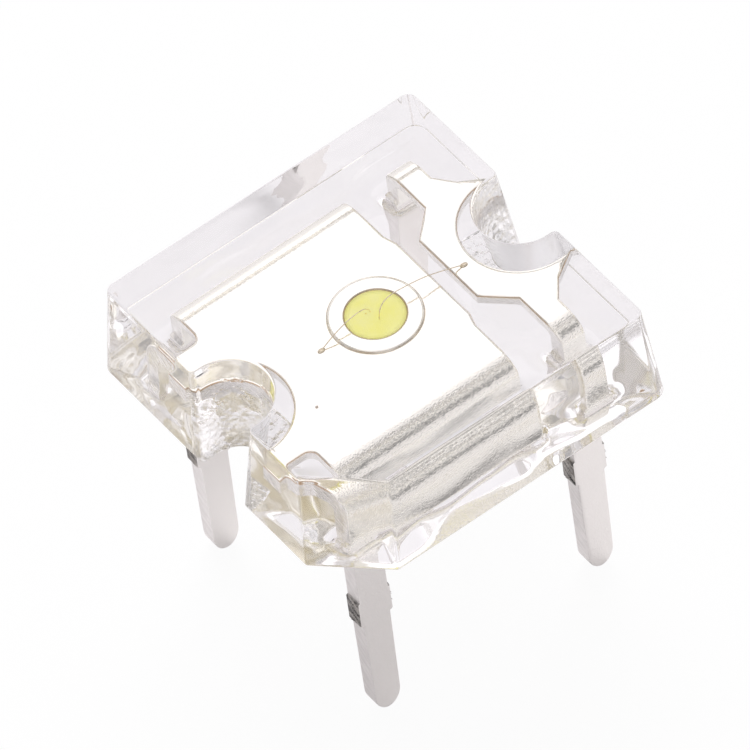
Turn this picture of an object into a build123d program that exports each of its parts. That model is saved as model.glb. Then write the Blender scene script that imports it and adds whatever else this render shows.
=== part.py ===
from build123d import *
import math
import os

# A clear, flat-topped square lamp on four flat pins. Two folded metal frames are cast into a
# clear epoxy block: the wide one carries the cup with the light chip, the narrow one is the
# post for the second gold wire. Both fold down at the front and back into their pins.
# Lengths are in millimetres, angles in degrees. The pin tips stand on Z = 0, +Z points up,
# and the origin is under the middle of the block.

# Block of clear epoxy
body_side = 7.62
body_height = 2.29
body_lift = 5.22
body_draft = 5.0
corner_radius = 0.25
corner_top_radius = 0.14
marked_corner_leg = 1.22
top_edge_radius = 0.06

# Half-round notches in the middle of the left and right sides
notch_axis_x = 3.42
notch_top_radius = 0.88
notch_foot_radius = 0.62

# Hollow underside, left where the epoxy set in an open mould
rim_width = 0.10
hollow_depths = (0.12, 0.10, 0.06)
hollow_slopes = (30.0, 55.0, 76.0)

# Folded sheet of both frames
sheet = 0.38
fold_inner_radius = 0.17
pin_pitch = 5.08
frame_cover = 0.78          # epoxy above the flat of the frames
skirt_drop = 1.27           # from the flat down to the end of the wide folded skirt

# Pins
pin_width = 0.68
pin_lower_width = 0.63
pin_end_width = 0.58
pin_tip_height = 0.42
dam_stub_width = 0.76
dam_stub_foot = 2.69
dam_stub_height = 0.68
pin_shoulder_radius = 0.15

# Wide frame, seen from above
plate_left = -2.81
plate_right = 1.27
plate_bulge = 0.09          # the right edge stands out this much beside the cup
plate_bulge_half = 1.12
plate_bulge_slope = 0.30
notch_relief_radius = 1.20
tab_end_x = 3.40
tab_outer_y = 1.72
tab_root_radius = 0.20

# Narrow frame, seen from above
post_inner_x = 2.27
post_outer_x = 2.81
post_land_inner_x = 1.70    # the land that takes the wire
post_land_half = 0.89
post_flare_half = 1.45
post_wing_x = 3.12
post_wing_half = 1.55
post_wing_root = 1.95

# Cup
cup_rim_radius = 0.93
cup_rim_height = 0.08
cup_mouth_radius = 0.60
cup_floor_radius = 0.42
cup_depth = 0.38
cup_boss_radius = 0.72
cup_floor_wall = 0.16
fill_gap = 0.04             # the yellow filling stays this far below the rim

# Chip on its glue
chip_side = 0.38
chip_height = 0.11
chip_mesa_height = 0.015
chip_mesa_margin = 0.03
glue_radius = 0.29
glue_height = 0.02
bond_pad_offset = 0.13

# Gold wires. Each loop has three lists for its points: their shares of the way from the chip to
# the stitch, their sideways bows, and their heights above the flat of the frames.
wire_diameter = 0.03
ball_diameter = 0.09
ball_height = 0.025
stitch_diameter = 0.10
stitch_height = 0.03
plate_stitch = (-1.27, 0.0)
post_stitch = (1.97, -0.14)
plate_loop_shares = (0.02, 0.26, 0.70)
plate_loop_bows = (0.0, 0.0, 0.0)
plate_loop_heights = (0.26, 0.50, 0.35)
post_loop_shares = (-0.015, 0.13, 0.38, 0.66)
post_loop_bows = (0.0, 0.14, 0.11, 0.04)
post_loop_heights = (0.34, 0.54, 0.54, 0.49)
loop_corner_radius = 0.12

# Levels and places that follow from the sizes above
top_z = body_lift + body_height
body_top_side = body_side - 2 * body_height * math.tan(math.radians(body_draft))
flat_z = top_z - frame_cover
skirt_foot_z = flat_z - skirt_drop
lead_face = pin_pitch / 2 + sheet / 2
fold_outer_radius = fold_inner_radius + sheet
rim_z = flat_z + cup_rim_height
cup_floor_z = flat_z - cup_depth
fill_z = rim_z - fill_gap
glue_top_z = cup_floor_z + glue_height
chip_top_z = glue_top_z + chip_height
notch_draft = math.degrees(math.atan((notch_top_radius - notch_foot_radius) / body_height))
dam_stub_top = dam_stub_foot + dam_stub_height
span = 2 * body_side


# Outline of the block at one level, with one corner cut off as the polarity mark
def body_outline(side, radius):
    outline = Sketch() + Rectangle(side, side)
    by_corner = outline.vertices().sort_by(lambda v: v.X + v.Y)
    outline = chamfer(by_corner[0], marked_corner_leg)
    square = [v for v in outline.vertices() if min(abs(v.X), abs(v.Y)) > side / 2 - radius]
    return fillet(square, radius)


# Tapered cutter for one side notch: wide at the top, narrow at the underside
def notch_cutter(side):
    reach = body_side / 2
    mouth = Pos(side * (notch_axis_x + reach / 2), 0) * Rectangle(reach, 2 * notch_foot_radius)
    outline = Pos(side * notch_axis_x, 0) * Circle(notch_foot_radius) + mouth
    return extrude(Pos(0, 0, body_lift) * outline, body_height, taper=-notch_draft)


# Shallow hollow in the underside: each step climbs less steeply than the one outside it
def underside_hollow(body):
    foot = body.faces().sort_by(Axis.Z)[0]
    outline = offset(foot, -rim_width, kind=Kind.INTERSECTION)
    hollow = Part()
    for depth, slope in zip(hollow_depths, hollow_slopes):
        step = extrude(outline, depth, dir=(0, 0, 1), taper=slope)
        hollow += step
        outline = step.faces().sort_by(Axis.Z)[-1]
    return hollow


def epoxy_block():
    foot = Pos(0, 0, body_lift) * body_outline(body_side, corner_radius)
    crown = Pos(0, 0, top_z) * body_outline(body_top_side, corner_top_radius)
    body = loft([foot, crown], ruled=True)
    top_edges = body.edges().filter_by(lambda e: e.center().Z > top_z - 0.001)
    body = fillet(top_edges, top_edge_radius)
    body -= notch_cutter(-1)
    body -= notch_cutter(1)
    return body - underside_hollow(body)


# The sheet folded into an upside-down U, as long as both frames together
def folded_strip():
    outer = Pos(0, flat_z / 2) * Rectangle(2 * lead_face, flat_z)
    outer = fillet(outer.vertices().group_by(Axis.Y)[-1], fold_outer_radius)
    inner_height = flat_z - sheet
    inner = Pos(0, inner_height / 2) * Rectangle(2 * (lead_face - sheet), inner_height)
    inner = fillet(inner.vertices().group_by(Axis.Y)[-1], fold_inner_radius)
    return extrude(Plane.YZ * (outer - inner), span / 2, both=True)


# Front outline of one pin, from the skirt down to its rounded tip
def pin_outline(centre):
    half = pin_width / 2
    upper = Pos(centre, (dam_stub_top + skirt_foot_z) / 2)
    outline = upper * Rectangle(pin_width, skirt_foot_z - dam_stub_top)
    stub = Pos(centre, dam_stub_foot + dam_stub_height / 2)
    outline += stub * Rectangle(dam_stub_width, dam_stub_height)
    lower_half = pin_lower_width / 2
    end_half = pin_end_width / 2
    shank = Polyline(
        (-end_half, pin_tip_height),
        (-lower_half, dam_stub_foot),
        (lower_half, dam_stub_foot),
        (end_half, pin_tip_height),
    )
    tip = EllipticalCenterArc(
        (0, pin_tip_height), end_half, pin_tip_height, start_angle=180, arc_size=180
    )
    outline += Pos(centre, 0) * make_face(shank + tip)
    return outline


# A frame is the part of the folded strip inside its plan outline above, and its pins below
def folded_frame(plan, centre):
    keep = extrude(Pos(0, 0, skirt_foot_z) * plan, flat_z - skirt_foot_z)
    keep += extrude(Plane.XZ * pin_outline(centre), span / 2, both=True)
    return folded_strip() & keep


def wide_frame_plan():
    length = 2 * lead_face
    plan = Pos((plate_left + plate_right) / 2, 0) * Rectangle(plate_right - plate_left, length)
    foot = plate_bulge_half + plate_bulge_slope
    plan += make_face(Polyline(
        (plate_right, -foot),
        (plate_right + plate_bulge, -plate_bulge_half),
        (plate_right + plate_bulge, plate_bulge_half),
        (plate_right, foot),
        close=True,
    ))
    tab_length = tab_end_x + plate_left
    plan += Pos(plate_left - tab_length / 2, 0) * Rectangle(tab_length, 2 * tab_outer_y)
    roots = plan.vertices().filter_by(lambda v: abs(v.X - plate_left) < 0.01)
    roots = roots.filter_by(lambda v: abs(v.Y) < tab_outer_y + 0.01)
    plan = fillet(roots, tab_root_radius)
    return plan - Pos(-notch_axis_x, 0) * Circle(notch_relief_radius)


def narrow_frame_plan():
    plan = make_face(Polyline(
        (post_inner_x, -lead_face),
        (post_inner_x, -post_flare_half),
        (post_land_inner_x, -post_land_half),
        (post_land_inner_x, post_land_half),
        (post_inner_x, post_flare_half),
        (post_inner_x, lead_face),
        (post_outer_x, lead_face),
        (post_outer_x, post_wing_root),
        (post_wing_x, post_wing_half),
        (post_wing_x, -post_wing_half),
        (post_outer_x, -post_wing_root),
        (post_outer_x, -lead_face),
        close=True,
    ))
    return plan - Pos(notch_axis_x, 0) * Circle(notch_relief_radius)


# Cone that opens upwards: the inside of the cup up to a level
def cup_hollow(level):
    slope = (cup_mouth_radius - cup_floor_radius) / (rim_z - cup_floor_z)
    radius = cup_floor_radius + slope * (level - cup_floor_z)
    height = level - cup_floor_z
    return Pos(0, 0, cup_floor_z + height / 2) * Cone(cup_floor_radius, radius, height)


def cup_frame():
    frame = folded_frame(wide_frame_plan(), -pin_pitch / 2)
    corner_x = -pin_pitch / 2 + pin_width / 2
    corners = frame.edges().filter_by(Axis.Y)
    corners = [e for e in corners if abs(e.center().X - corner_x) < 0.01]
    corners = [e for e in corners if abs(e.center().Z - skirt_foot_z) < 0.01]
    frame = fillet(corners, pin_shoulder_radius)
    boss_foot = cup_floor_z - cup_floor_wall
    boss_height = flat_z - boss_foot
    frame += Pos(0, 0, boss_foot + boss_height / 2) * Cylinder(cup_boss_radius, boss_height)
    frame += Pos(0, 0, flat_z + cup_rim_height / 2) * Cylinder(cup_rim_radius, cup_rim_height)
    return frame - cup_hollow(rim_z)


def post_frame():
    return folded_frame(narrow_frame_plan(), pin_pitch / 2)


def chip():
    body_part = chip_height - chip_mesa_height
    solid = Pos(0, 0, glue_top_z + body_part / 2) * Box(chip_side, chip_side, body_part)
    mesa_side = chip_side - 2 * chip_mesa_margin
    mesa_z = chip_top_z - chip_mesa_height / 2
    return solid + Pos(0, 0, mesa_z) * Box(mesa_side, mesa_side, chip_mesa_height)


def chip_glue():
    return Pos(0, 0, cup_floor_z + glue_height / 2) * Cylinder(glue_radius, glue_height)


# A gold wire: a ball on the chip, a loop on round corners, and a flat stitch on its frame
def bond_wire(pad_y, stitch, shares, bows, heights):
    ball = Vector(0, pad_y, chip_top_z + ball_height / 2)
    end = Vector(*stitch, flat_z + stitch_height / 2)
    way = Vector(end.X - ball.X, end.Y - ball.Y, 0)
    sideways = way.normalized().rotate(Axis.Z, 90)
    route = [ball]
    for share, bow, height in zip(shares, bows, heights):
        place = ball + way * share + sideways * bow
        route.append(Vector(place.X, place.Y, flat_z + height))
    route.append(end)
    path = FilletPolyline(*route, radius=loop_corner_radius)
    section = Plane(origin=path @ 0, z_dir=path % 0) * RegularPolygon(wire_diameter / 2, 6)
    wire = sweep(section, path=path)
    wire += Pos(*ball) * Cylinder(ball_diameter / 2, ball_height)
    return wire + Pos(*end) * Cylinder(stitch_diameter / 2, stitch_height)


wide_frame = cup_frame()
narrow_frame = post_frame()
light_chip = chip()
glue = chip_glue()
wire_to_plate = bond_wire(
    bond_pad_offset, plate_stitch, plate_loop_shares, plate_loop_bows, plate_loop_heights
)
wire_to_post = bond_wire(
    -bond_pad_offset, post_stitch, post_loop_shares, post_loop_bows, post_loop_heights
)
wires = wire_to_plate + wire_to_post
filling = cup_hollow(fill_z) - glue - light_chip - wires
epoxy = epoxy_block() - wide_frame - narrow_frame - cup_hollow(fill_z) - wires

nodes = {
    "epoxy_body": epoxy,
    "cup_leadframe": wide_frame,
    "post_leadframe": narrow_frame,
    "led_chip": light_chip,
    "die_attach": glue,
    "phosphor_fill": filling,
    "bond_wire_plate": wire_to_plate,
    "bond_wire_post": wire_to_post,
}

os.makedirs("parts", exist_ok=True)
for name, shape in nodes.items():
    solids = shape.solids()
    print(name, len(solids), "solid(s), volume", round(shape.volume, 4))
    export_step(shape, "parts/" + name + ".step")
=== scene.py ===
import bpy
import bmesh
import math
from mathutils import Matrix, Vector, noise
from mathutils.geometry import delaunay_2d_cdt, intersect_point_line


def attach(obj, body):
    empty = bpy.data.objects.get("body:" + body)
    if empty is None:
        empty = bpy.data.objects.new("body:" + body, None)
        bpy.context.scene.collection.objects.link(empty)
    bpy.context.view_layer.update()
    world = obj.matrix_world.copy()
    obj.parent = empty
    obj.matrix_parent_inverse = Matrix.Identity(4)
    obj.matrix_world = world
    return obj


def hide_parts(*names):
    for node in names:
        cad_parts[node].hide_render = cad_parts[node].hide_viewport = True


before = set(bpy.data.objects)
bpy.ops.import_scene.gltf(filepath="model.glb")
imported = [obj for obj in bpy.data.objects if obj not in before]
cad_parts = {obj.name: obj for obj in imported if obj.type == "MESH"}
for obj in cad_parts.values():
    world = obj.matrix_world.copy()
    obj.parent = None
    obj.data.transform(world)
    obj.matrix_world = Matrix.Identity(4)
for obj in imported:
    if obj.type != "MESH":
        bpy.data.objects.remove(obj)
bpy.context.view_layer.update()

# Lengths below are in millimetres and turn into metres when a mesh is made
MM = 0.001

# Block of clear epoxy
body_side = 7.62
body_lift = 5.22
body_top = 7.51
body_draft = math.radians(5.0)
corner_radius = 0.30
corner_top_radius = 0.20
marked_corner_leg = 1.22
marked_corner_radius = 0.10
top_edge_radius = 0.06
notch_axis_x = 3.42
notch_top_radius = 0.88
notch_foot_radius = 0.62
notch_lip_radius = 0.12
underside_lip = 0.34
lip_slope = 0.06
underside_reach = 0.60
lip_turn = 0.16
lip_turn_slope = 0.22
rim_round = 0.02
pin_wetting = 0.16
pin_wetting_reach = 0.12
leg_wetting = 0.10
leg_wetting_reach = 0.06
leg_clear = 0.04
# Width of the lip at places along the front
front_lip = (
    (-2.7, 0.05), (-2.0, 0.07), (-0.95, 0.58), (-0.1, 0.42),
    (0.6, 0.28), (1.15, 0.56), (2.1, 0.34), (2.8, 0.30))

# Folded sheet of the two frames
sheet = 0.38
fold_inner_radius = 0.17
fold_outer_radius = fold_inner_radius + sheet
flat_z = 6.73
lead_face = 2.73
fold_start = lead_face - fold_outer_radius
fold_length = fold_outer_radius * math.pi / 2
skirt_foot_z = 5.46
punch_round = 0.045
wide_left, wide_right = -2.81, 1.27
narrow_inner, narrow_outer = 2.27, 2.81
clear_of_notch = 1.20
tab_end = 3.40
wing_end = 3.12

# Pins, from the dam stubs down
pin_pitch = 5.08
pin_half = 0.34
dam_stub_top = 3.37
dam_stub_foot = 2.69
dam_half = 0.38
lower_half = 0.315
end_half = 0.29
tip_height = 0.42
shoulder_radius = 0.15

# Cup, chip and filling
cup_rim_radius = 0.93
cup_rim_height = 0.08
cup_mouth_radius = 0.60
cup_floor_radius = 0.42
cup_depth = 0.38
cup_boss_radius = 0.72
cup_floor_wall = 0.16
cup_hole_radius = 0.90
hole_steps = 40
fill_gap = 0.04
fill_sag = 0.03

# Gold wires
wire_radius = 0.0115
bond_pad_offset = 0.13
chip_top_z = flat_z - cup_depth + 0.13

# Studio. A zone of the room has its side, the cosines off that side where it starts and where
# it is full, and its level there
front_side = (0.33, -0.93, 0.16)
front_edge = (0.80, 0.95)
front_level = 0.20
left_side = (-0.78, 0.36, 0.51)
left_edge = (0.80, 0.93)
left_level = 0.42
window_side = (0.324, 0.542, 0.776)
window_edge = (0.50, 0.92)
window_level = 1.38
shade_level = 0.45
room_colour = (0.95, 0.93, 0.945)
floor_colour = (0.87, 0.85, 0.865)
floor_glow = 0.95
floor_mirrored_glow = 0.50
back_power = 1.1


# Node helpers

def plug(tree, socket, given):
    """Feeds a socket from another one, or sets it to a plain value."""
    if isinstance(given, bpy.types.NodeSocket):
        tree.links.new(given, socket)
    else:
        socket.default_value = given


def maths(tree, operation, first, second=0.0):
    node = tree.nodes.new("ShaderNodeMath")
    node.operation = operation
    plug(tree, node.inputs[0], first)
    plug(tree, node.inputs[1], second)
    return node.outputs[0]


def ramped(tree, value, low, high, start=0.0, end=1.0):
    """Value from low to high turned softly into start to end, and held there."""
    node = tree.nodes.new("ShaderNodeMapRange")
    node.interpolation_type = "SMOOTHSTEP"
    for name, given in (("Value", value), ("From Min", low), ("From Max", high),
                        ("To Min", start), ("To Max", end)):
        plug(tree, node.inputs[name], given)
    return node.outputs["Result"]


def between(tree, factor, first, second):
    """A colour between two."""
    mix = tree.nodes.new("ShaderNodeMix")
    mix.data_type = "RGBA"
    for number, given in ((0, factor), (6, first), (7, second)):
        plug(tree, mix.inputs[number], given)
    return mix.outputs[2]


# Mesh helpers

def finished_piece(name, mesh, materials, slot, *nodes):
    piece = bpy.data.objects.new(name, mesh)
    bpy.context.scene.collection.objects.link(piece)
    for material in materials:
        piece.data.materials.append(material)
    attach(piece, "root")
    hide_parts(*nodes)


def mesh_from(name, points, faces):
    """A smooth mesh, from points in millimetres."""
    mesh = bpy.data.meshes.new(name)
    mesh.from_pydata([[c * MM for c in p] for p in points], [], faces)
    for face in mesh.polygons:
        face.use_smooth = True
    return mesh


def near_line(point, a, b):
    _, share = intersect_point_line(point, a, b)
    share = min(max(share, 0.0), 1.0)
    return (point - a.lerp(b, share)).length


class Outline:
    """A closed plan outline, run anticlockwise."""

    def __init__(self, points):
        self.points = [Vector(p) for p in points]
        self.count = len(self.points)
        self.edges = list(zip(self.points, self.points[1:] + self.points[:1]))

    def holds(self, p):
        inside = False
        for a, b in self.edges:
            if (a.y > p.y) != (b.y > p.y):
                if p.x < a.x + (p.y - a.y) / (b.y - a.y) * (b.x - a.x):
                    inside = not inside
        return inside

    def depth(self, p, reach=1e9):
        best = reach
        for a, b in self.edges:
            if min(a.x, b.x) - best > p.x or max(a.x, b.x) + best < p.x:
                continue
            if min(a.y, b.y) - best > p.y or max(a.y, b.y) + best < p.y:
                continue
            best = min(best, near_line(p, a, b))
        return best

    def normals(self):
        """Inward unit normals, one for each point, lengthened at corners."""
        out = []
        for i in range(self.count):
            before = (self.points[i] - self.points[i - 1]).normalized()
            after = (self.points[(i + 1) % self.count] - self.points[i]).normalized()
            turn = before + after
            if turn.length < 1e-6:
                turn = after
            turn.normalize()
            inward = Vector((-turn.y, turn.x))
            stretch = max(inward.dot(Vector((-after.y, after.x))), 0.5)
            out.append(inward / stretch)
        return out


def patch(outline, inner):
    """Triangles that fill an outline through inner points. The outline's points come first."""
    ring = list(range(outline.count))
    edges = [(i, (i + 1) % outline.count) for i in ring]
    points = list(outline.points) + inner
    made, _, faces, origins, _, _ = delaunay_2d_cdt(points, edges, [], 1, 1e-7)
    number = [o[0] if o else None for o in origins]
    extra = []
    for i, n in enumerate(number):
        if n is None:
            number[i] = len(points) + len(extra)
            extra.append(made[i])
    return points + extra, [[number[i] for i in f] for f in faces]


# Clear epoxy block

def rounded(before, corner, after, radius, steps):
    """A corner of an outline as an arc, from one side to the next."""
    into = (corner - before).normalized()
    out = (after - corner).normalized()
    turn = into.angle_signed(out)
    reach = radius * abs(math.tan(turn / 2))
    start = corner - into * reach
    side = Vector((-into.y, into.x)) * (-1 if turn > 0 else 1)
    centre = start + side * radius
    arm = start - centre
    points = []
    for i in range(steps + 1):
        points.append(centre + Matrix.Rotation(-turn * i / steps, 2) @ arm)
    return points


def notch_arc(side, radius, steps):
    """A half round, for the notch on the +X (1) or the -X side (-1)."""
    points = []
    for i in range(steps + 1):
        angle = -math.pi / 2 - math.pi * i / steps
        points.append(Vector((notch_axis_x + radius * math.cos(angle), radius * math.sin(angle))))
    if side < 0:
        points = [Vector((-p.x, -p.y)) for p in points]
    return points


def block_outline(z):
    """The body's outline at a level, anticlockwise from the marked corner."""
    half = body_side / 2 - (z - body_lift) * math.tan(body_draft)
    leg = marked_corner_leg
    share = (z - body_lift) / (body_top - body_lift)
    notch = notch_foot_radius + (notch_top_radius - notch_foot_radius) * share
    corner = corner_radius + (corner_top_radius - corner_radius) * share
    corners = [
        (Vector((-half + leg, -half)), marked_corner_radius),
        (Vector((half, -half)), corner),
        (Vector((half, -notch)), notch_lip_radius),
        (None, 1),
        (Vector((half, notch)), notch_lip_radius),
        (Vector((half, half)), corner),
        (Vector((-half, half)), corner),
        (Vector((-half, notch)), notch_lip_radius),
        (None, -1),
        (Vector((-half, -notch)), notch_lip_radius),
        (Vector((-half, -half + leg)), marked_corner_radius),
    ]
    runs = []
    for i, (tip, radius) in enumerate(corners):
        if tip is None:
            runs.append(notch_arc(radius, notch, 40))
            continue
        before, after = corners[i - 1], corners[(i + 1) % len(corners)]
        a = before[0] if before[0] else Vector((before[1] * notch_axis_x, tip.y))
        b = after[0] if after[0] else Vector((after[1] * notch_axis_x, tip.y))
        runs.append(rounded(a, tip, b, radius, 8))
    points = []
    for i, run in enumerate(runs):
        following = runs[(i + 1) % len(runs)][0]
        points += run
        gap = following - run[-1]
        if corners[i][0] and corners[(i + 1) % len(corners)][0]:
            support = 0.02 / gap.length
            steps = 30 if max(abs(gap.x), abs(gap.y)) < 4 else 60
            stations = [support] + [s / steps for s in range(1, steps)] + [1 - support]
            points += [run[-1] + gap * s for s in stations]
    return Outline(points)


def inner_rings(outline, insets):
    normals = outline.normals()
    inner = []
    for inset in insets:
        last = None
        for p, n in zip(outline.points, normals):
            q = p + n * inset
            if last and (q - last).length < 0.008:
                continue
            if outline.depth(q, inset * 2) > inset * 0.985:
                inner.append(q)
                last = q
    return inner


def inner_grid(outline, pitch, clear):
    low = Vector((min(p.x for p in outline.points), min(p.y for p in outline.points)))
    high = Vector((max(p.x for p in outline.points), max(p.y for p in outline.points)))
    inner = []
    rows = int((high.y - low.y) / pitch)
    columns = int((high.x - low.x) / pitch)
    for row in range(1, rows):
        for column in range(1, columns):
            p = low + Vector((column * pitch + (row % 2) * pitch / 2, row * pitch))
            if outline.holds(p) and outline.depth(p, clear * 1.1) > clear:
                inner.append(p)
    return inner


def pin_centres():
    half = pin_pitch / 2
    return [(x, y) for x in (-half, half) for y in (-half, half)]


def eased(value, low, high):
    share = min(max((value - low) / (high - low), 0.0), 1.0)
    return share * share * (3 - 2 * share)


def front_lip_width(x):
    """The lip's width along the front, between its given points."""
    for (a, wide_a), (b, wide_b) in zip(front_lip, front_lip[1:]):
        if x < b:
            return wide_a + (wide_b - wide_a) * eased(x, a, b)
    return front_lip[-1][1]


def underside_height(p, depth):
    """The free surface: a low lip, a slope up to the folded legs, and down again round the pins."""
    uneven = noise.noise(Vector((p.x * 0.75, p.y * 0.75, 1.7)))
    climb = max(depth - rim_round, 0.0)
    lip = underside_lip * (1 + 0.9 * uneven)
    lip += (front_lip_width(p.x) - lip) * eased(-p.y, 2.2, 2.8)
    steep = eased(-(p.x + p.y), -1.5, 3.0)
    slope = math.tan(math.radians(6 + 18 * steep))
    turned = min(max(climb - lip, 0.0), lip_turn)
    past = min(max(climb - lip - lip_turn, 0.0), underside_reach)
    level = max(climb - lip - lip_turn - underside_reach, 0.0)
    z = body_lift + lip_slope * min(climb, lip) + lip_turn_slope * turned + slope * past
    z += 0.03 * (1 - math.exp(-level / 0.3))
    if depth < rim_round:
        z += rim_round * (1 - math.sqrt(1 - (1 - depth / rim_round) ** 2))
    for x, y in pin_centres():
        away = Vector((max(abs(p.x - x) - pin_half, 0), max(abs(p.y - y) - sheet / 2, 0))).length
        z -= pin_wetting * math.exp(-away / pin_wetting_reach)
    beside_wide = wide_left - leg_clear < p.x < wide_right + leg_clear
    beside_narrow = narrow_inner - leg_clear < p.x < narrow_outer + leg_clear
    if beside_wide or beside_narrow:
        away = max(abs(abs(p.y) - lead_face + sheet / 2) - sheet / 2, 0)
        z -= leg_wetting * math.exp(-away / leg_wetting_reach)
    z += 0.010 * noise.noise(Vector((p.x * 1.3, p.y * 1.3, 4.0))) * min(depth / 0.4, 1.0)
    return z


def top_height(depth):
    if depth >= top_edge_radius:
        return body_top
    short = top_edge_radius - depth
    return body_top - top_edge_radius + math.sqrt(max(top_edge_radius ** 2 - short ** 2, 0.0))


def epoxy_mesh():
    foot = body_lift + rim_round
    shoulder = body_top - top_edge_radius
    levels = [foot, foot + 0.02]
    levels += [foot + (shoulder - foot) * i / 12 for i in range(1, 12)]
    levels += [shoulder - 0.02, shoulder]
    rings = [block_outline(z) for z in levels]
    count = rings[0].count
    points = [(p.x, p.y, z) for ring, z in zip(rings, levels) for p in ring.points]
    faces = []
    for level in range(len(levels) - 1):
        for i in range(count):
            a, b = level * count + i, level * count + (i + 1) % count
            faces.append((a, b, b + count, a + count))

    def close(ring, base, inner, height):
        flat, triangles = patch(ring, inner)
        start = len(points)
        for p in flat[count:]:
            points.append((p.x, p.y, height(p, ring.depth(p))))
        for t in triangles:
            t = t if base else t[::-1]
            faces.append([base + i if i < count else start + i - count for i in t])

    top = rings[-1]
    arcs = [top_edge_radius * (1 - math.cos(math.radians(a))) for a in (20, 35, 48, 60, 70, 80, 90)]
    inner = inner_rings(top, arcs + [top_edge_radius + 0.02])
    close(top, (len(levels) - 1) * count, inner, lambda p, d: top_height(d))
    bottom = rings[0]
    inner = inner_rings(bottom, (0.012, 0.025, 0.04, 0.07, 0.11, 0.16, 0.22, 0.3))
    inner += [p for p in inner_grid(bottom, 0.11, 0.34) if p.y > -2.6 or abs(p.x) > 2.7]
    inner += [p for p in inner_grid(bottom, 0.045, 0.34) if p.y < -2.63 and abs(p.x) < 2.67]
    close(bottom, 0, inner, underside_height)
    return mesh_from("epoxy_block", points, faces)


# Folded frames

def fold(x, s, depth):
    """A place on the flat blank, and its depth in the sheet, to its place on the folded frame."""
    side = 1 if s > 0 else -1
    run = abs(s) - fold_start
    if run <= 0:
        return (x, s, flat_z - depth)
    if run < fold_length:
        angle = run / fold_length * math.pi / 2
        arm = fold_outer_radius - depth
        y = fold_start + arm * math.sin(angle)
        return (x, side * y, flat_z - fold_outer_radius + arm * math.cos(angle))
    return (x, side * (lead_face - depth), flat_z - fold_outer_radius - (run - fold_length))


def blank_height(z):
    """How far from the middle of the blank a level on the folded legs lies."""
    return fold_start + fold_length + flat_z - fold_outer_radius - z


def arc(centre, radius, start, turn, steps):
    points = []
    for i in range(steps + 1):
        angle = math.radians(start + turn * i / steps)
        points.append(Vector((
            centre[0] + radius * math.cos(angle), centre[1] + radius * math.sin(angle))))
    return points


def pin_side(centre, side):
    """One edge of a pin from the skirt down to the tip."""
    edge = [
        (pin_half, dam_stub_top + 0.03),
        (dam_half, dam_stub_top),
        (dam_half, dam_stub_foot + 0.02),
        (dam_half - 0.02, dam_stub_foot),
        (lower_half, dam_stub_foot - 0.02),
        (end_half, tip_height),
    ]
    points = [Vector((centre + side * half, blank_height(z))) for half, z in edge]
    for i in range(1, 10):
        angle = math.radians(10 * i)
        reach = side * end_half * math.cos(angle)
        points.append(Vector((centre + reach, blank_height(tip_height * (1 - math.sin(angle))))))
    return points


def pin_run(centre):
    left = pin_side(centre, -1)
    tip = Vector((centre, blank_height(0)))
    return left + [tip] + pin_side(centre, 1)[::-1]


def wide_blank_half():
    """The half of the wide blank beyond its middle line, from the right edge round to the tab."""
    skirt = blank_height(skirt_foot_z)
    points = [(wide_right + 0.09, 0), (wide_right + 0.09, 1.12), (wide_right, 1.42),
              (wide_right, skirt - 0.05), (wide_right - 0.05, skirt)]
    centre = (-pin_pitch / 2 + pin_half + shoulder_radius, skirt + shoulder_radius)
    points += arc(centre, shoulder_radius, 270, -90, 8)
    points += pin_run(-pin_pitch / 2)[::-1]
    points += [(wide_left - 0.07, skirt + 0.06), (wide_left, skirt)]
    points += arc((wide_left - 0.20, 1.72 + 0.20), 0.20, 0, -90, 6)
    points.append((-tab_end, 1.72))
    reach = math.degrees(math.acos((notch_axis_x - tab_end) / clear_of_notch))
    points += arc((-notch_axis_x, 0), clear_of_notch, reach, -reach, 16)
    return [Vector(p) for p in points]


def narrow_blank_half():
    skirt = blank_height(skirt_foot_z)
    reach = math.degrees(math.acos((notch_axis_x - wing_end) / clear_of_notch))
    notch = arc((notch_axis_x, 0), clear_of_notch, 180, reach - 180, 16)
    points = [p for p in notch if p.y >= 0]
    points += [(wing_end, 1.55), (narrow_outer, 1.95), (narrow_outer, skirt),
               (narrow_outer + 0.07, skirt + 0.06)]
    points += pin_run(pin_pitch / 2)[::-1]
    points += [(narrow_inner - 0.07, skirt + 0.06), (narrow_inner, skirt),
               (narrow_inner, 1.45), (1.70, 0.89), (1.70, 0)]
    return [Vector(p) for p in points]


def whole_blank(half):
    """Both halves of a blank as one outline, run anticlockwise, with points on every fold row."""
    loop = half + [Vector((p.x, -p.y)) for p in half[::-1] if p.y > 1e-6]
    if sum(a.x * b.y - b.x * a.y for a, b in zip(loop, loop[1:] + loop[:1])) < 0:
        loop = loop[::-1]
    rows = fold_rows()
    points = []
    for a, b in zip(loop, loop[1:] + loop[:1]):
        if (a - b).length < 1e-6:
            continue
        shares = [(row - a.y) / (b.y - a.y) for row in rows if (a.y - row) * (b.y - row) < 0]
        steps = int((b - a).length / 0.25)
        if not shares and steps > 1:
            shares = [i / steps for i in range(1, steps)]
        points += [a] + [a.lerp(b, s) for s in sorted(shares)]
    return Outline([p for i, p in enumerate(points) if (p - points[i - 1]).length > 1e-4])


def fold_rows():
    rows = [fold_start + fold_length * i / 18 for i in range(-1, 20)]
    return [-r for r in rows[::-1]] + rows


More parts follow.
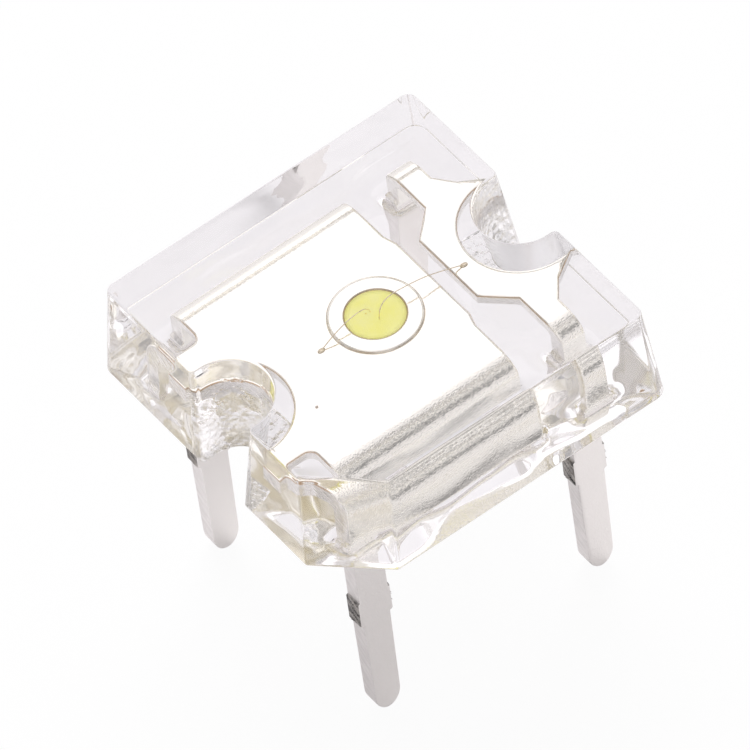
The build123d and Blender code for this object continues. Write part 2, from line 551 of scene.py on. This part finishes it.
def sheet_mesh(name, outline, hole=None):
    """A folded sheet: outer and inner faces, a rolled edge above and a sharper one below."""
    edge = ((punch_round, 0.0), (punch_round * 0.3, punch_round * 0.3), (0.0, punch_round),
            (0.0, sheet * 0.45), (0.0, sheet - 0.01), (0.01, sheet))
    normals = outline.normals()
    count = outline.count
    points, faces, sheared = [], [], []
    for inset, depth in edge:
        points += [fold(*(p + n * inset), depth) for p, n in zip(outline.points, normals)]
    for ring in range(len(edge) - 1):
        for i in range(count):
            a, b = ring * count + i, ring * count + (i + 1) % count
            if ring in (1, 2, 3):
                sheared.append(len(faces))
            faces.append((a, a + count, b + count, b))
    inner = []
    low = min(p.x for p in outline.points)
    high = max(p.x for p in outline.points)
    for row in fold_rows():
        for i in range(1, int((high - low) / 0.12)):
            p = Vector((low + 0.12 * i, row))
            if outline.holds(p) and outline.depth(p, 0.1) > 0.06:
                inner.append(p)
    inner += inner_rings(outline, (punch_round + 0.03,))
    if hole:
        inner = arc((0, 0), hole, 0, 360 - 360 / hole_steps, hole_steps - 1) + inner
    starts = []
    for inset, depth in (edge[0], edge[-1]):
        base = (len(edge) - 1) * count if depth else 0
        rim = Outline([p + n * inset for p, n in zip(outline.points, normals)])
        flat, triangles = patch(rim, inner)
        start = len(points)
        starts.append(start)
        points += [fold(p.x, p.y, depth) for p in flat[count:]]
        for t in triangles:
            if hole and max(t) < count + hole_steps and min(t) >= count:
                continue
            t = t[::-1] if base else t
            faces.append([base + i if i < count else start + i - count for i in t])
    for i in range(hole_steps if hole else 0):
        j = (i + 1) % hole_steps
        faces.append((starts[1] + i, starts[1] + j, starts[0] + j, starts[0] + i))
    mesh = mesh_from(name, points, faces)
    for i in sheared:
        mesh.polygons[i].material_index = 1
    return mesh


def spun_mesh(name, profile, steps=96):
    """A closed profile of (radius, height) from the axis back to the axis, spun round Z."""
    points, faces, rings = [], [], []
    for radius, z in profile:
        if radius < 1e-6:
            rings.append([len(points)])
            points.append((0, 0, z))
            continue
        rings.append([len(points) + i for i in range(steps)])
        for i in range(steps):
            angle = 2 * math.pi * i / steps
            points.append((radius * math.cos(angle), radius * math.sin(angle), z))
    for a, b in zip(rings, rings[1:]):
        for i in range(steps):
            j = (i + 1) % steps
            if len(a) == 1:
                faces.append((a[0], b[i], b[j]))
            elif len(b) == 1:
                faces.append((a[i], b[0], a[j]))
            else:
                faces.append((a[i], b[i], b[j], a[j]))
    return mesh_from(name, points, faces)


def cup_mesh():
    rim = flat_z + cup_rim_height
    floor = flat_z - cup_depth
    under = flat_z - sheet
    bottom = floor - cup_floor_wall
    profile = [(0, floor), (cup_floor_radius - 0.03, floor), (cup_floor_radius, floor + 0.01),
               (cup_mouth_radius - 0.02, rim - 0.04), (cup_mouth_radius, rim - 0.01),
               (cup_mouth_radius + 0.012, rim), (cup_mouth_radius + 0.035, rim)]
    profile += [(cup_rim_radius - inset, rim - drop) for inset, drop in (
        (0.090, 0), (0.065, 0), (0.043, 0.006), (0.024, 0.018), (0.010, 0.036), (0.002, 0.058))]
    profile += [(cup_rim_radius, flat_z + 0.01), (cup_rim_radius + 0.01, flat_z - 0.02),
                (cup_rim_radius + 0.01, under + 0.02), (cup_boss_radius + 0.02, under + 0.02),
                (cup_boss_radius, under - 0.01), (cup_boss_radius, bottom + 0.02),
                (cup_boss_radius - 0.02, bottom), (0, bottom)]
    return spun_mesh("cup", profile)


def joined(name, *meshes):
    whole = bmesh.new()
    for mesh in meshes:
        whole.from_mesh(mesh)
    made = bpy.data.meshes.new(name)
    whole.to_mesh(made)
    whole.free()
    for face in made.polygons:
        face.use_smooth = True
    return made


def keep_creases(mesh, degrees):
    shell = bmesh.new()
    shell.from_mesh(mesh)
    for edge in shell.edges:
        if len(edge.link_faces) == 2 and edge.calc_face_angle(0) > math.radians(degrees):
            edge.smooth = False
    shell.to_mesh(mesh)
    shell.free()
    return mesh


# Gold wires and torn ridges, made by geometry nodes

def geometry_tree(name, inputs, build):
    """A named geometry tree. What its build function gives is realized, in the Finish material."""
    tree = bpy.data.node_groups.new(name, "GeometryNodeTree")
    for label, kind in (*inputs, ("Finish", "Material")):
        tree.interface.new_socket(label, in_out="INPUT", socket_type="NodeSocket" + kind)
    tree.interface.new_socket("Made", in_out="OUTPUT", socket_type="NodeSocketGeometry")
    given, result = tree.nodes.new("NodeGroupInput"), tree.nodes.new("NodeGroupOutput")
    real = tree.nodes.new("GeometryNodeRealizeInstances")
    finish = tree.nodes.new("GeometryNodeSetMaterial")
    for source, target in (
            (build(tree, given.outputs), real.inputs["Geometry"]),
            (real.outputs["Geometry"], finish.inputs["Geometry"]),
            (given.outputs["Finish"], finish.inputs["Material"]),
            (finish.outputs["Geometry"], result.inputs["Made"])):
        tree.links.new(source, target)
    return tree


def wire_tree():
    """A round wire along a path."""
    def build(tree, given):
        ring = tree.nodes.new("GeometryNodeCurvePrimitiveCircle")
        sweep = tree.nodes.new("GeometryNodeCurveToMesh")
        smooth = tree.nodes.new("GeometryNodeSetShadeSmooth")
        sweep.inputs["Fill Caps"].default_value = True
        for source, target in (
                (given["Around"], ring.inputs["Resolution"]),
                (given["Wire Radius"], ring.inputs["Radius"]),
                (given["Path"], sweep.inputs["Curve"]),
                (ring.outputs["Curve"], sweep.inputs["Profile Curve"]),
                (sweep.outputs["Mesh"], smooth.inputs["Geometry"])):
            tree.links.new(source, target)
        return smooth.outputs["Geometry"]
    inputs = (("Path", "Geometry"), ("Wire Radius", "Float"), ("Around", "Int"))
    return geometry_tree("drawn_wire", inputs, build)


def ridge_tree():
    """Slanting ridges down a stub's sheared side: a line of slivers, each a little different."""
    def build(tree, given):
        add = tree.nodes.new
        line, sliver = add("GeometryNodeMeshLine"), add("GeometryNodeMeshIcoSphere")
        lay = add("GeometryNodeInstanceOnPoints")
        end, size, turn = (add("ShaderNodeCombineXYZ") for _ in range(3))
        drift, vary = add("FunctionNodeRandomValue"), add("FunctionNodeRandomValue")
        line.mode = "END_POINTS"
        sliver.inputs["Radius"].default_value = 0.5
        sliver.inputs["Subdivisions"].default_value = 2
        vary.inputs[2].default_value, vary.inputs[3].default_value = 0.6, 1.2
        drift.inputs[2].default_value, drift.inputs[3].default_value = -0.15, 0.15
        length = maths(tree, "MULTIPLY", given["Length"], vary.outputs[1])
        slant = maths(tree, "ADD", given["Slant"], drift.outputs[1])
        for source, target in (
                (given["Seed"], drift.inputs["Seed"]), (given["Seed"], vary.inputs["Seed"]),
                (given["Count"], line.inputs["Count"]), (given["Run"], end.inputs["Z"]),
                (end.outputs[0], line.inputs["Offset"]), (length, size.inputs["Y"]),
                (given["Thickness"], size.inputs["X"]), (given["Thickness"], size.inputs["Z"]),
                (slant, turn.inputs["X"]), (line.outputs["Mesh"], lay.inputs["Points"]),
                (sliver.outputs["Mesh"], lay.inputs["Instance"]),
                (size.outputs[0], lay.inputs["Scale"]), (turn.outputs[0], lay.inputs["Rotation"])):
            tree.links.new(source, target)
        return lay.outputs["Instances"]
    inputs = (("Stub", "Geometry"), ("Count", "Int"), ("Length", "Float"), ("Thickness", "Float"),
              ("Run", "Float"), ("Slant", "Float"), ("Seed", "Int"))
    return geometry_tree("torn_ridges", inputs, build)


def set_inputs(modifier, values):
    for item in modifier.node_group.interface.items_tree:
        if item.in_out == "INPUT" and item.name in values:
            modifier[item.identifier] = values[item.name]


def baked(carrier, tree, values, name):
    """What a geometry tree makes on a carrier, as a plain mesh. The carrier is removed."""
    bpy.context.scene.collection.objects.link(carrier)
    modifier = carrier.modifiers.new("nodes", "NODES")
    modifier.node_group = tree
    set_inputs(modifier, values)
    carrier.update_tag()
    graph = bpy.context.evaluated_depsgraph_get()
    mesh = bpy.data.meshes.new_from_object(carrier.evaluated_get(graph), depsgraph=graph)
    mesh.name = name
    carrier.modifiers.remove(modifier)
    bpy.data.objects.remove(carrier)
    return mesh


def wire_route(pad_y, stitch, loop):
    ball = Vector((0, pad_y, chip_top_z + 0.02))
    end = Vector((stitch[0], stitch[1], flat_z + 0.018))
    way = Vector((end.x - ball.x, end.y - ball.y, 0))
    sideways = Vector((-way.y, way.x, 0)).normalized()
    route = [ball]
    for share, bow, height in loop:
        place = ball + way * share + sideways * bow
        route.append(Vector((place.x, place.y, flat_z + height)))
    return route + [end]


def wire_mesh(name, route, tree, finish):
    curve = bpy.data.curves.new(name, "CURVE")
    curve.dimensions = "3D"
    curve.resolution_u = 12
    line = curve.splines.new("NURBS")
    line.points.add(len(route) - 1)
    for point, place in zip(line.points, route):
        point.co = (*(place * MM), 1.0)
    line.order_u = 3
    line.use_endpoint_u = True
    carrier = bpy.data.objects.new(name, curve)
    values = {"Wire Radius": wire_radius * MM, "Around": 12, "Finish": finish}
    wire = baked(carrier, tree, values, name)
    ball, end = route[0], route[-1]
    knob = spun_mesh("ball", [
        (0, 0.035), (0.02, 0.033), (0.036, 0.024), (0.045, 0.008),
        (0.043, -0.01), (0.034, -0.02), (0, -0.02)], 20)
    knob.transform(Matrix.Translation(ball * MM))
    crescent = spun_mesh("stitch", [
        (0, 0.02), (0.02, 0.018), (0.04, 0.008), (0.055, -0.012), (0, -0.018)], 20)
    way = end - route[-2]
    turn = Matrix.Rotation(math.atan2(way.y, way.x), 4, "Z")
    crescent.transform(Matrix.Translation(end * MM) @ turn @ Matrix.Diagonal((1.5, 1, 1, 1)))
    return joined(name, wire, knob, crescent)


def stub_ridges(tree, finish, centre):
    """The ridges of one leg pair's four stubs, moved to their places."""
    patches = []
    for number, (side_x, side_y) in enumerate(((-1, -1), (1, -1), (-1, 1), (1, 1))):
        carrier = bpy.data.objects.new("stub", bpy.data.meshes.new("stub"))
        values = {"Count": 11, "Length": 0.36 * MM, "Thickness": 0.026 * MM, "Run": 0.54 * MM,
                  "Slant": math.radians(32 * side_y), "Seed": 7 + number, "Finish": finish}
        ridges = baked(carrier, tree, values, "ridges")
        place = Vector((
            centre + side_x * dam_half, side_y * (lead_face - sheet / 2), dam_stub_foot + 0.07))
        ridges.transform(Matrix.Translation(place * MM))
        for face in ridges.polygons:
            face.material_index = 1
        patches.append(ridges)
    return patches


# Materials

def shader_group(name, inputs, output, output_kind, build):
    """A named node group. Its build function gets the tree and inputs, and gives the output."""
    tree = bpy.data.node_groups.new(name, "ShaderNodeTree")
    for label, kind in inputs:
        tree.interface.new_socket(label, in_out="INPUT", socket_type=kind)
    tree.interface.new_socket(output, in_out="OUTPUT", socket_type=output_kind)
    given, result = tree.nodes.new("NodeGroupInput"), tree.nodes.new("NodeGroupOutput")
    tree.links.new(build(tree, given.outputs), result.inputs[output])
    return tree


NUMBER, PLACE, COLOUR = "NodeSocketFloat", "NodeSocketVector", "NodeSocketColor"


def cloud(tree, place, scale, detail=2.0):
    node = tree.nodes.new("ShaderNodeTexNoise")
    node.inputs["Detail"].default_value = detail
    plug(tree, node.inputs["Vector"], place)
    plug(tree, node.inputs["Scale"], scale)
    return node.outputs["Fac"]


def soft_patches():
    """Slow patches, for tone and gloss that wander over a surface."""
    def build(tree, given):
        patches = cloud(tree, given["Place"], given["Scale"], 3.0)
        return ramped(tree, patches, 0.3, 0.7, given["Low"], given["High"])
    inputs = (("Place", PLACE), ("Scale", NUMBER), ("Low", NUMBER), ("High", NUMBER))
    return shader_group("soft_patches", inputs, "Value", NUMBER, build)


def slow_swell():
    """The slight waviness of a cast or moulded face."""
    def build(tree, given):
        return cloud(tree, given["Place"], given["Scale"], 0.0)
    inputs = (("Place", PLACE), ("Scale", NUMBER))
    return shader_group("slow_swell", inputs, "Height", NUMBER, build)


def fine_pits():
    """Small round pits, as in orange peel on a stretched bend or a rough mould wall."""
    def build(tree, given):
        cells = tree.nodes.new("ShaderNodeTexVoronoi")
        cells.feature = "SMOOTH_F1"
        tree.links.new(given["Place"], cells.inputs["Vector"])
        tree.links.new(given["Scale"], cells.inputs["Scale"])
        wander = cloud(tree, given["Place"], given["Scale"], 4.0)
        pits = maths(tree, "MULTIPLY", cells.outputs["Distance"], wander)
        return maths(tree, "MULTIPLY", pits, given["Depth"])
    inputs = (("Place", PLACE), ("Scale", NUMBER), ("Depth", NUMBER))
    return shader_group("fine_pits", inputs, "Height", NUMBER, build)


def stray_specks():
    """A few dark specks, in some cells of a loose pattern."""
    def build(tree, given):
        cells = tree.nodes.new("ShaderNodeTexVoronoi")
        tree.links.new(given["Place"], cells.inputs["Vector"])
        tree.links.new(given["Scale"], cells.inputs["Scale"])
        chosen = maths(tree, "GREATER_THAN", cells.outputs["Color"], 0.62)
        ragged = maths(tree, "MULTIPLY", cloud(tree, given["Place"], 22.0), given["Radius"])
        near = maths(tree, "LESS_THAN", cells.outputs["Distance"], ragged)
        return maths(tree, "MULTIPLY", near, chosen)
    inputs = (("Place", PLACE), ("Scale", NUMBER), ("Radius", NUMBER))
    return shader_group("stray_specks", inputs, "Mask", NUMBER, build)


def tint_between():
    """A colour between two, by a factor."""
    def build(tree, given):
        return between(tree, given["Factor"], given["First"], given["Second"])
    inputs = (("Factor", NUMBER), ("First", COLOUR), ("Second", COLOUR))
    return shader_group("tint_between", inputs, "Colour", COLOUR, build)


class Finish:
    """A material, its Principled shader, and the object's place in millimetres."""

    groups = {}

    def __init__(self, name, **plain):
        self.material = bpy.data.materials.new(name)
        self.material.use_nodes = True
        self.tree = self.material.node_tree
        self.shader = self.tree.nodes["Principled BSDF"]
        for key, value in plain.items():
            self.shader.inputs[key.replace("_", " ")].default_value = value
        place = self.tree.nodes.new("ShaderNodeTexCoord").outputs["Object"]
        grow = self.tree.nodes.new("ShaderNodeVectorMath")
        grow.operation = "SCALE"
        grow.inputs["Scale"].default_value = 1 / MM
        self.tree.links.new(place, grow.inputs[0])
        self.place = grow.outputs["Vector"]
        apart = self.tree.nodes.new("ShaderNodeSeparateXYZ")
        self.tree.links.new(self.place, apart.inputs[0])
        self.x, self.y, self.z = apart.outputs

    def effect(self, maker, **values):
        """One of the shared node groups, with this material's own values."""
        if maker.__name__ not in Finish.groups:
            Finish.groups[maker.__name__] = maker()
        node = self.tree.nodes.new("ShaderNodeGroup")
        node.node_tree = Finish.groups[maker.__name__]
        if "Place" in node.inputs and "Place" not in values:
            self.tree.links.new(self.place, node.inputs["Place"])
        for key, value in values.items():
            plug(self.tree, node.inputs[key], value)
        return node.outputs[0]

    def patches(self, scale, low=0.0, high=1.0, **place):
        return self.effect(soft_patches, Scale=scale, Low=low, High=high, **place)

    def tint(self, factor, first, second):
        """A colour between two, each plain or from a socket."""
        colours = [(*c, 1) if isinstance(c, tuple) else c for c in (first, second)]
        return self.effect(tint_between, Factor=factor, First=colours[0], Second=colours[1])

    def stretched(self, x, y, z, turn=0.0):
        """The place turned about X and then squeezed, for grain that runs one way."""
        node = self.tree.nodes.new("ShaderNodeMapping")
        node.vector_type = "TEXTURE"
        node.inputs["Rotation"].default_value = (math.radians(turn), 0, 0)
        node.inputs["Scale"].default_value = (1 / x, 1 / y, 1 / z)
        self.tree.links.new(self.place, node.inputs["Vector"])
        return node.outputs["Vector"]

    def feed(self, socket, source):
        plug(self.tree, self.shader.inputs[socket], source)

    def relief(self, *layers):
        """Bumps, each a height of 0 to 1 and the distance in millimetres that it stands for."""
        normal = None
        for height, distance in layers:
            bump = self.tree.nodes.new("ShaderNodeBump")
            bump.inputs["Distance"].default_value = distance * MM
            self.tree.links.new(height, bump.inputs["Height"])
            if normal:
                self.tree.links.new(normal, bump.inputs["Normal"])
            normal = bump.outputs["Normal"]
        self.feed("Normal", normal)

    def maths(self, operation, first, second=0.0):
        return maths(self.tree, operation, first, second)

    def times(self, first, *others):
        for other in others:
            first = self.maths("MULTIPLY", first, other)
        return first

    def ramped(self, *values):
        return ramped(self.tree, *values)


def epoxy_finish():
    """Clear cast epoxy: glassy, a little wavy on its sides, frosted in the notches."""
    finish = Finish("clear_epoxy", Transmission_Weight=1.0, IOR=1.53)
    across = finish.maths("ABSOLUTE", finish.x)
    beside = finish.maths("ABSOLUTE", finish.y)
    in_notch = finish.times(
        finish.ramped(beside, 0.86, 0.93, 1.0, 0.0), finish.ramped(across, 2.40, 2.46),
        finish.ramped(finish.z, body_top - 0.10, body_top - 0.04, 1.0, 0.0))
    ragged = finish.maths("ADD", finish.z, finish.patches(2.5, -0.35, 0.35))
    low = finish.ramped(ragged, 6.35, 6.85, 1.0, 0.0)
    right = finish.ramped(finish.x, 0.0, 0.1)
    left = finish.ramped(finish.x, -0.1, 0.0, 1.0, 0.0)
    bubbly = finish.times(right, finish.ramped(finish.y, -0.35, 0.1))
    streaked = finish.times(left, low)
    frost = finish.times(in_notch, finish.maths("MAXIMUM", low, right))
    finish.feed("Roughness", finish.times(frost, 0.30))
    rough = finish.times(
        finish.effect(fine_pits, Scale=7.0, Depth=2.6), in_notch,
        finish.maths("MAXIMUM", bubbly, streaked))
    side = finish.ramped(finish.z, body_top - 0.16, body_top - 0.05, 1.0, 0.0)
    waves = finish.times(finish.effect(slow_swell, Scale=0.8), side)
    finish.relief((waves, 0.020), (rough, 0.055))
    finish.feed("Base Color", finish.tint(
        finish.patches(0.6), (0.935, 0.925, 0.932), (0.958, 0.950, 0.953)))
    return finish.material


def frame_finish():
    """Silver plating: bright on the flats, grained and pitted at the folds, dull on the pins."""
    finish = Finish("plated_frame", Metallic=1.0)
    beside = finish.maths("ABSOLUTE", finish.y)
    folded = finish.ramped(beside, fold_start - 0.10, fold_start + 0.22)
    bare = finish.ramped(finish.z, body_lift - 0.1, body_lift + 0.25, 1.0, 0.0)
    bright = finish.tint(finish.patches(1.4), (0.970, 0.953, 0.890), (0.950, 0.930, 0.870))
    specks = finish.effect(stray_specks, Scale=1.05, Radius=0.07)
    bright = finish.tint(specks, bright, (0.34, 0.29, 0.24))
    radius = finish.maths("SQRT", finish.maths(
        "ADD", finish.times(finish.x, finish.x), finish.times(finish.y, finish.y)))
    # Painted shade: dark outlines along the rounded edges of the cup's rim and mouth, broken up in
    # patches on the rim
    rim = finish.maths("ABSOLUTE", finish.maths("SUBTRACT", radius, cup_rim_radius - 0.014))
    mouth = finish.maths("ABSOLUTE", finish.maths("SUBTRACT", radius, cup_mouth_radius - 0.004))
    patchy_rim_shade = finish.patches(1.2, 0.35, 1.0)
    edges = finish.maths("MAXIMUM", finish.times(finish.ramped(rim, 0.006, 0.022, 1.0, 0.0), patchy_rim_shade),
                         finish.ramped(mouth, 0.010, 0.024, 1.0, 0.0))
    edges = finish.times(edges, finish.ramped(finish.z, flat_z + 0.005, flat_z + 0.015))
    # The painted shade of the rim and mouth outlines goes into the plating's colour here
    bright = finish.tint(edges, bright, (0.46, 0.37, 0.26))
    finish.feed("Base Color", finish.tint(bare, bright, (0.93, 0.90, 0.87)))
    gloss = finish.ramped(folded, 0.0, 1.0, 0.10, 0.11)
    gloss = finish.maths("ADD", gloss, finish.times(bare, 0.22))
    finish.feed("Roughness", finish.maths("ADD", gloss, finish.patches(5.0, -0.02, 0.02)))
    grain = finish.patches(1.0, 0.0, 0.16, Place=finish.stretched(0.5, 30.0, 30.0))
    pits = finish.effect(fine_pits, Scale=26.0, Depth=2.0)
    front = finish.ramped(finish.y, -0.5, 0.5, 1.0, 0.30)
    worked = finish.times(finish.maths("ADD", grain, pits), finish.times(folded, front))
    finish.relief((finish.patches(6.0, 0.0, 0.12), 0.006), (worked, 0.006))
    return finish.material


def sheared_finish():
    """The punched edge: bright in the epoxy under a dark line of painted shade, scored and grey on
    the pins.
    """
    finish = Finish("sheared_edge", Metallic=1.0)
    lines = finish.patches(1.0, Place=finish.stretched(9.0, 3.0, 17.0, 35.0))
    outside = finish.ramped(finish.z, body_lift - 0.05, body_lift + 0.15, 1.0, 0.0)
    stub = finish.times(finish.ramped(finish.z, dam_stub_foot, dam_stub_foot + 0.05),
                        finish.ramped(finish.z, dam_stub_top, dam_stub_top + 0.05, 1.0, 0.0))
    # Painted shade: a dark warm line just under the flat top, standing in for the shadow under the
    # edge's burr
    burr_shade = finish.ramped(finish.z, flat_z - 0.060, flat_z - 0.035)
    clean = finish.tint(lines, (0.88, 0.86, 0.84), (0.95, 0.93, 0.90))
    clean = finish.tint(burr_shade, clean, (0.60, 0.43, 0.28))
    scored = finish.tint(lines, (0.78, 0.75, 0.73), (0.89, 0.86, 0.84))
    torn = finish.tint(lines, (0.03, 0.03, 0.03), (0.50, 0.47, 0.44))
    finish.feed("Base Color", finish.tint(outside, clean, finish.tint(stub, scored, torn)))
    finish.feed("Roughness", finish.ramped(outside, 0.0, 1.0, 0.18, 0.34))
    finish.relief((lines, 0.006))
    return finish.material


def phosphor_finish():
    """Yellow filling: fine grain in clear resin, with a few darker grains. It glows a little in its
    own colour, as painted light in place of the lamp light that the glass keeps from it.
    """
    finish = Finish("phosphor", Roughness=0.32, IOR=1.5, Emission_Strength=0.40)
    grain = finish.effect(fine_pits, Scale=55.0, Depth=1.5)
    mixed = finish.times(finish.maths("ADD", finish.patches(1.9), grain), 0.6)
    powder = finish.tint(mixed, (0.91, 0.88, 0.17), (0.93, 0.91, 0.38))
    specks = finish.effect(stray_specks, Scale=5.0, Radius=0.16)
    powder = finish.tint(specks, powder, (0.62, 0.50, 0.12))
    finish.feed("Base Color", powder)
    # Painted light: the filling glows in its own colour, standing in for lamp light that doesn't
    # reach it through the glass
    finish.feed("Emission Color", powder)
    finish.relief((grain, 0.008))
    return finish.material


def gold_finish():
    finish = Finish("gold_wire", Metallic=1.0)
    tone = finish.patches(14.0)
    finish.feed("Base Color", finish.tint(tone, (0.72, 0.62, 0.48), (0.88, 0.78, 0.60)))
    finish.feed("Roughness", finish.ramped(tone, 0.0, 1.0, 0.22, 0.36))
    return finish.material


def chip_finish():
    finish = Finish("chip_crystal", Roughness=0.12, IOR=1.77)
    finish.feed("Base Color", finish.tint(
        finish.patches(8.0), (0.50, 0.56, 0.60), (0.60, 0.66, 0.68)))
    return finish.material


def glue_finish():
    finish = Finish("chip_glue", Roughness=0.25)
    tone = finish.patches(10.0)
    finish.feed("Base Color", finish.tint(tone, (0.80, 0.79, 0.72), (0.90, 0.89, 0.84)))
    finish.relief((tone, 0.004))
    return finish.material


# Studio

def backdrop_colour(tree, rays, surroundings):
    """White straight behind the part, and the colour of the room for every other ray."""
    return between(tree, rays.outputs["Is Camera Ray"], (*surroundings, 1), (1, 1, 1, 1))


def studio():
    world = bpy.data.worlds.new("studio")
    bpy.context.scene.world = world
    world.use_nodes = True
    tree = world.node_tree
    background = tree.nodes["Background"]
    rays = tree.nodes.new("ShaderNodeLightPath")
    way = tree.nodes.new("ShaderNodeTexCoord").outputs["Generated"]

    def towards(side):
        node = tree.nodes.new("ShaderNodeVectorMath")
        node.operation = "DOT_PRODUCT"
        node.inputs[1].default_value = side
        tree.links.new(way, node.inputs[0])
        return node.outputs["Value"]

    front = ramped(tree, towards(front_side), *front_edge, 1.0, front_level)
    left = ramped(tree, towards(left_side), *left_edge, 1.0, left_level)
    ceiling = maths(tree, "MULTIPLY", front, left)
    window = ramped(tree, towards(window_side), *window_edge)
    mix = tree.nodes.new("ShaderNodeMix")
    tree.links.new(window, mix.inputs[0])
    tree.links.new(ceiling, mix.inputs[2])
    mix.inputs[3].default_value = window_level
    shade = ramped(tree, rays.outputs["Is Diffuse Ray"], 0.0, 1.0, 1.0, shade_level)
    room = maths(tree, "MULTIPLY", mix.outputs[0], shade)
    strength = maths(tree, "MAXIMUM", room, rays.outputs["Is Camera Ray"])
    plug(tree, background.inputs["Strength"], strength)
    plug(tree, background.inputs["Color"], backdrop_colour(tree, rays, room_colour))

    floor = bpy.data.meshes.new("floor")
    floor.from_pydata([(-1, -1, 0), (1, -1, 0), (1, 1, 0), (-1, 1, 0)], [], [(0, 1, 2, 3)])
    ground = bpy.data.objects.new("floor", floor)
    bpy.context.scene.collection.objects.link(ground)
    material = bpy.data.materials.new("white_paper")
    material.use_nodes = True
    tree = material.node_tree
    paper = tree.nodes["Principled BSDF"]
    paper.inputs["Base Color"].default_value = (0.92, 0.905, 0.925, 1)
    paper.inputs["Roughness"].default_value = 0.9
    paper.inputs["Specular IOR Level"].default_value = 0.0
    # One share of plain glow for rays from the camera, another for mirrored and refracted rays
    rays = tree.nodes.new("ShaderNodeLightPath")
    glossy, bent = rays.outputs["Is Glossy Ray"], rays.outputs["Is Transmission Ray"]
    plain = maths(tree, "MULTIPLY", rays.outputs["Is Camera Ray"], floor_glow)
    mirrored = maths(tree, "MULTIPLY", maths(tree, "MAXIMUM", glossy, bent), floor_mirrored_glow)
    share = maths(tree, "MAXIMUM", plain, mirrored)
    glow = tree.nodes.new("ShaderNodeEmission")
    tree.links.new(backdrop_colour(tree, rays, floor_colour), glow.inputs["Color"])
    mix = tree.nodes.new("ShaderNodeMixShader")
    tree.links.new(share, mix.inputs[0])
    tree.links.new(paper.outputs[0], mix.inputs[1])
    tree.links.new(glow.outputs[0], mix.inputs[2])
    tree.links.new(mix.outputs[0], tree.nodes["Material Output"].inputs["Surface"])
    floor.materials.append(material)

    place = Vector((0.12, 0.20, 0.26))
    light = bpy.data.lights.new("back_softbox", "AREA")
    light.shape = "SQUARE"
    light.size = 0.26
    light.energy = back_power
    lamp = bpy.data.objects.new("back_softbox", light)
    bpy.context.scene.collection.objects.link(lamp)
    lamp.location = place
    lamp.visible_glossy = lamp.visible_transmission = False
    aim = Vector((0, 0, 0.006)) - place
    lamp.rotation_euler = aim.to_track_quat("-Z", "Y").to_euler()


def photo_camera():
    """The camera that was fitted to the photograph."""
    data = bpy.data.cameras.new("photo_camera")
    data.sensor_width = 36.0
    data.lens = 770.9
    data.clip_start = 0.01
    data.clip_end = 5.0
    camera = bpy.data.objects.new("photo_camera", data)
    bpy.context.scene.collection.objects.link(camera)
    right = Vector((0.79165, -0.60412, -0.09121))
    up = Vector((0.51796, 0.58444, 0.62462))
    back = Vector((-0.32404, -0.54173, 0.77558))
    turn = Matrix((right, up, back)).transposed().to_4x4()
    camera.matrix_world = Matrix.Translation((-0.097354, -0.162422, 0.238003)) @ turn
    bpy.context.scene.camera = camera


# The part

photo_camera()
studio()
# Enough bounces for light to find its way out of the glass
light = bpy.context.scene.cycles
light.max_bounces = light.transmission_bounces = light.glossy_bounces = 24

clear = epoxy_finish()
frame_looks = (frame_finish(), sheared_finish())
gold = gold_finish()

finished_piece("epoxy_block", epoxy_mesh(), [clear], "clear_epoxy", "epoxy_body")

wide = sheet_mesh("wide_sheet", whole_blank(wide_blank_half()), cup_hole_radius)
ridges = ridge_tree()
stubs = stub_ridges(ridges, frame_looks[1], -pin_pitch / 2)
wide = keep_creases(joined("wide_frame", wide, cup_mesh(), *stubs), 40)
finished_piece("wide_frame", wide, frame_looks, "plated_frame", "cup_leadframe")

narrow = sheet_mesh("narrow_sheet", whole_blank(narrow_blank_half()))
stubs = stub_ridges(ridges, frame_looks[1], pin_pitch / 2)
narrow = keep_creases(joined("narrow_frame", narrow, *stubs), 40)
finished_piece("narrow_frame", narrow, frame_looks, "plated_frame", "post_leadframe")

fill_top = flat_z + cup_rim_height - fill_gap
fill_radius = cup_mouth_radius - 0.012
fill_foot = flat_z - cup_depth + 0.03
filling = spun_mesh("filling", [
    (0, fill_top - fill_sag), (fill_radius * 0.5, fill_top - fill_sag * 0.8),
    (fill_radius * 0.8, fill_top - fill_sag * 0.4), (fill_radius, fill_top),
    (fill_radius - 0.01, fill_top - 0.04), (cup_floor_radius, fill_foot), (0, fill_foot)])
finished_piece("yellow_filling", filling, [phosphor_finish()], "phosphor", "phosphor_fill")

tree = wire_tree()
# Each loop's points: share of the way, sideways bow, height over the plate
plate_loop = ((0.02, 0.0, 0.26), (0.26, 0.0, 0.50), (0.70, 0.0, 0.35))
post_loop = ((-0.015, 0.0, 0.34), (0.13, 0.14, 0.54), (0.38, 0.11, 0.54), (0.66, 0.04, 0.49))
plate_route = wire_route(bond_pad_offset, (-1.27, 0.0), plate_loop)
plate_wire = wire_mesh("plate_wire", plate_route, tree, gold)
finished_piece("plate_wire", plate_wire, [gold], "gold_wire", "bond_wire_plate")
post_route = wire_route(-bond_pad_offset, (1.97, -0.14), post_loop)
post_wire = wire_mesh("post_wire", post_route, tree, gold)
finished_piece("post_wire", post_wire, [gold], "gold_wire", "bond_wire_post")

for node, look in (("led_chip", chip_finish()), ("die_attach", glue_finish())):
    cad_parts[node].data.materials.clear()
    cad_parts[node].data.materials.append(look)

bpy.context.scene.view_settings.view_transform = "Standard"
